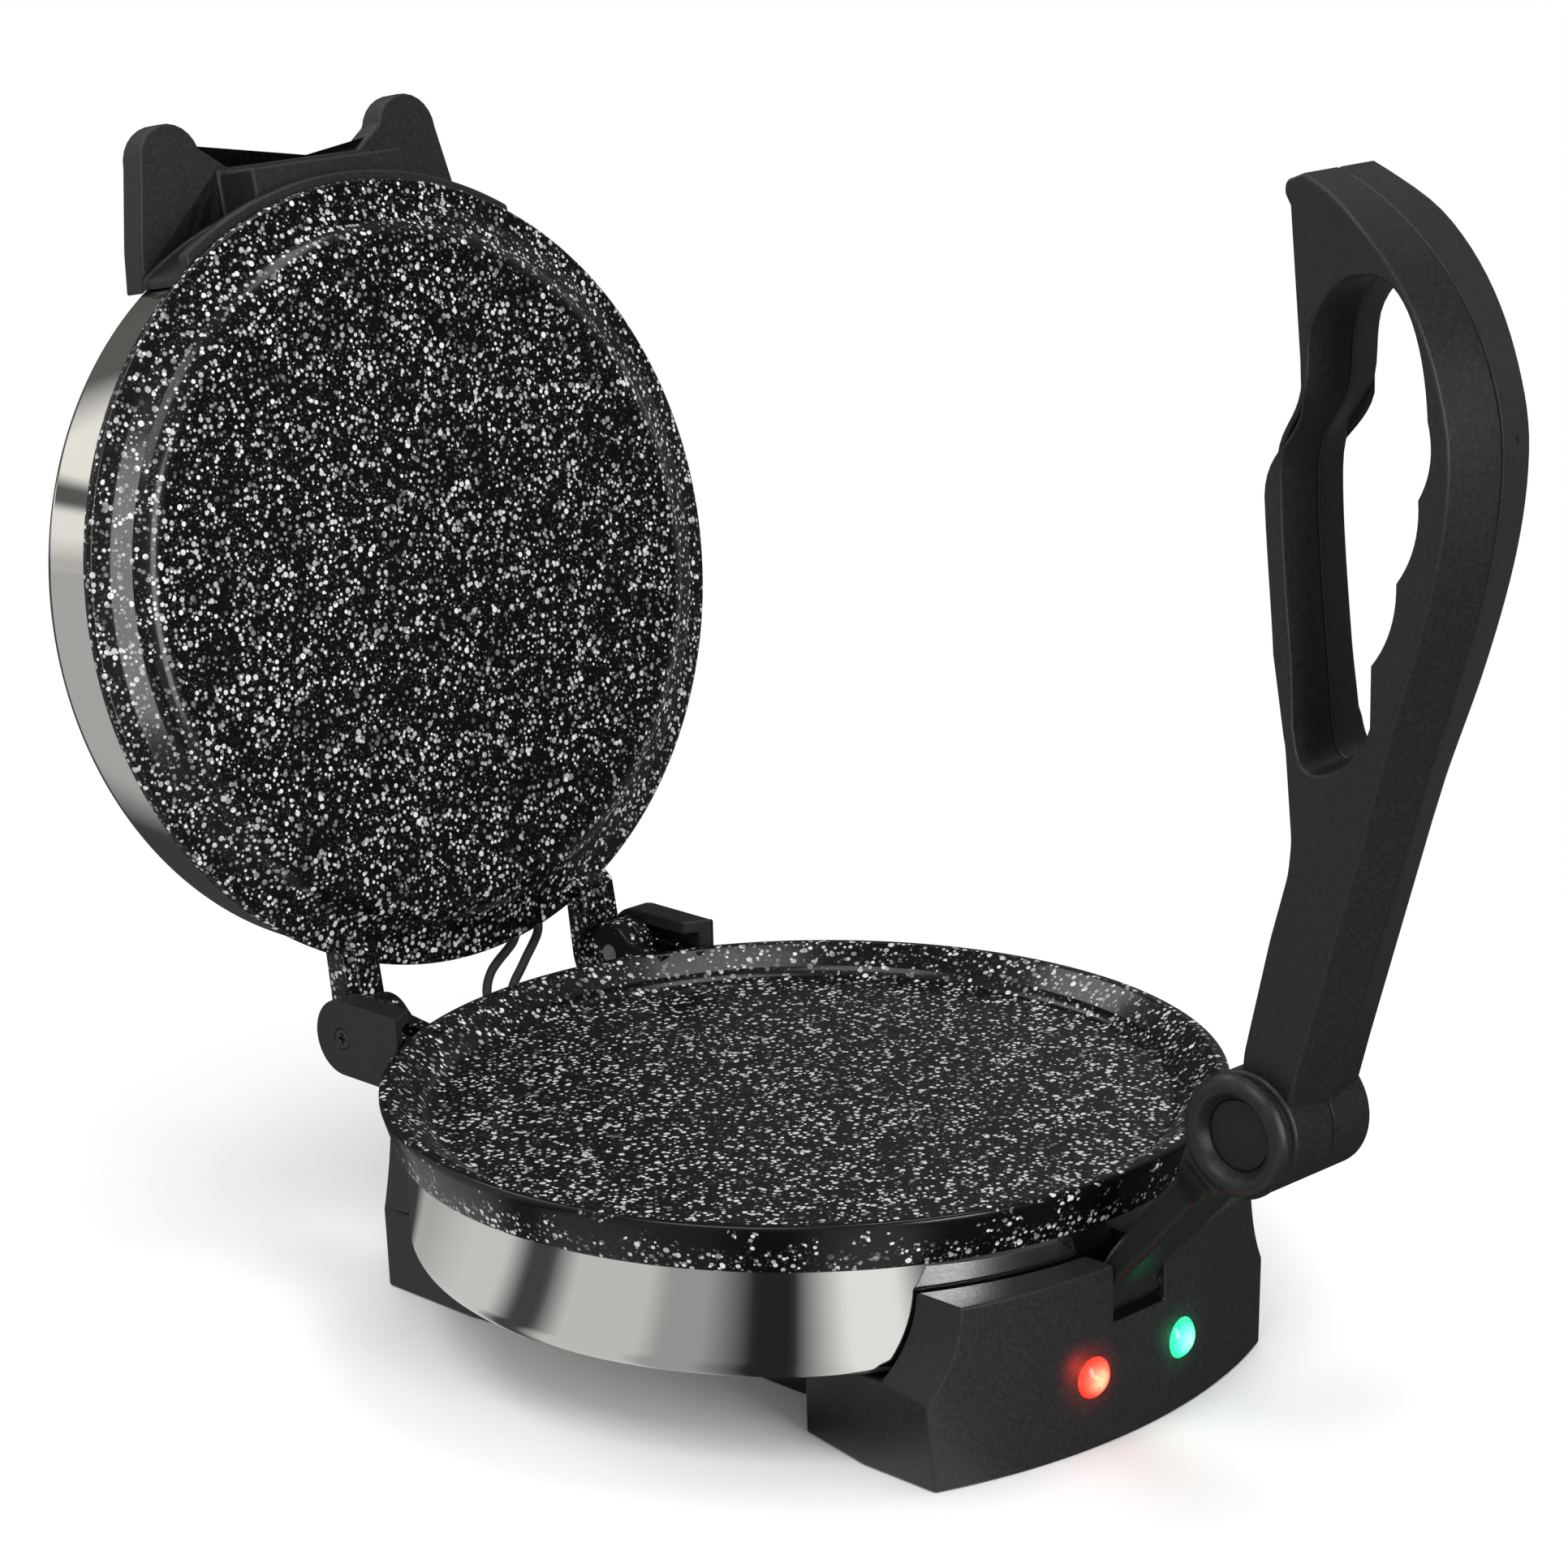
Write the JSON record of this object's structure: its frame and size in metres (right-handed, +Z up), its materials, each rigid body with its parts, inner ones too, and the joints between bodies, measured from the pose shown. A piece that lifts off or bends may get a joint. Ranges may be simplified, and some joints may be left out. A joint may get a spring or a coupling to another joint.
{
  "type": "electric roti maker",
  "caption": "Countertop electric flatbread press: round hinged hot plates in chrome shells on a black stand, with a folding press handle on a link.",
  "frame": {"origin": "on the axis of the lower hot plate, at counter level", "axes": "+X to the right seen from the front, +Y back towards the lid hinge, +Z up"},
  "size_m": [0.242, 0.458, 0.3445],
  "materials": {
    "stand_plastic": "semi-gloss moulded black",
    "cover_plastic": "satin",
    "rubber": "matt",
    "zinc_steel": "zinc plated",
    "chrome": "mirror polished",
    "non_stick": "black granite-speckled non-stick on cast aluminium",
    "heater_sheath": "oxidised",
    "plated_steel": "plated",
    "ceramic_body": "unglazed",
    "terminal_plastic": "matt",
    "board": "lacquered",
    "lamp_glass": "clear",
    "lens_red": "translucent, lit",
    "lens_green": "translucent, lit",
    "trim_plastic": "satin",
    "pin_steel": "ground",
    "black_screws": "blackened",
    "link_plastic": "fine textured moulded black",
    "handle_plastic": "fine textured moulded black",
    "catch_plastic": "fine textured moulded black",
    "lead_sleeve": "woven black sleeve"
  },
  "bodies": {
    "base": {"stand": "stand_plastic", "bottom_cover": "cover_plastic", "feet": "rubber", "cover_screws": "zinc_steel", "base_bowl": "chrome", "base_plate": "non_stick", "base_heater": "heater_sheath", "base_clamp": "plated_steel", "base_spacer": "plated_steel", "base_bolt": "zinc_steel", "thermostat": "ceramic_body", "thermal_fuse": "ceramic_body", "terminal_block": "terminal_plastic", "lamp_board": "board", "lamps": "lamp_glass", "lens_red": "lens_red", "lens_green": "lens_green", "cord_gland": "rubber", "lead_bush": "rubber", "hinge_cap_left": "trim_plastic", "hinge_cap_right": "trim_plastic", "hinge_pins": "pin_steel", "cap_screws": "black_screws", "link_pin": "pin_steel", "lead_left": "lead_sleeve", "lead_right": "lead_sleeve"},
    "lid": {"lid_plate": "non_stick", "lid_cover": "chrome", "lid_heater": "heater_sheath", "lid_clamp": "plated_steel", "lid_spacer": "plated_steel", "lid_bolt": "zinc_steel", "lid_lead_bushes": "rubber", "catch_bracket": "catch_plastic", "catch_screws": "zinc_steel"},
    "link": {"link": "link_plastic", "pivot_cap": "trim_plastic", "handle_pin": "pin_steel"},
    "handle": {"handle_left": "handle_plastic", "handle_right": "handle_plastic", "handle_screws": "black_screws"}
  },
  "joints": [
    {"name": "lid_hinge", "type": "hinge", "parent": "base", "child": "lid", "pos_m": [0, 0.1292, 0.069], "axis": [1, 0, 0], "range_deg": [0, 100.4], "deforming": ["lead_left", "lead_right"]},
    {"name": "link_pivot", "type": "hinge", "parent": "base", "child": "link", "pos_m": [0, -0.1205, 0.038], "axis": [1, 0, 0], "range_deg": [-22.8, 10.2]},
    {"name": "handle_pivot", "type": "hinge", "parent": "link", "child": "handle", "pos_m": [0, -0.17299, 0.101], "axis": [1, 0, 0], "range_deg": [-67, 25]}
  ]
}
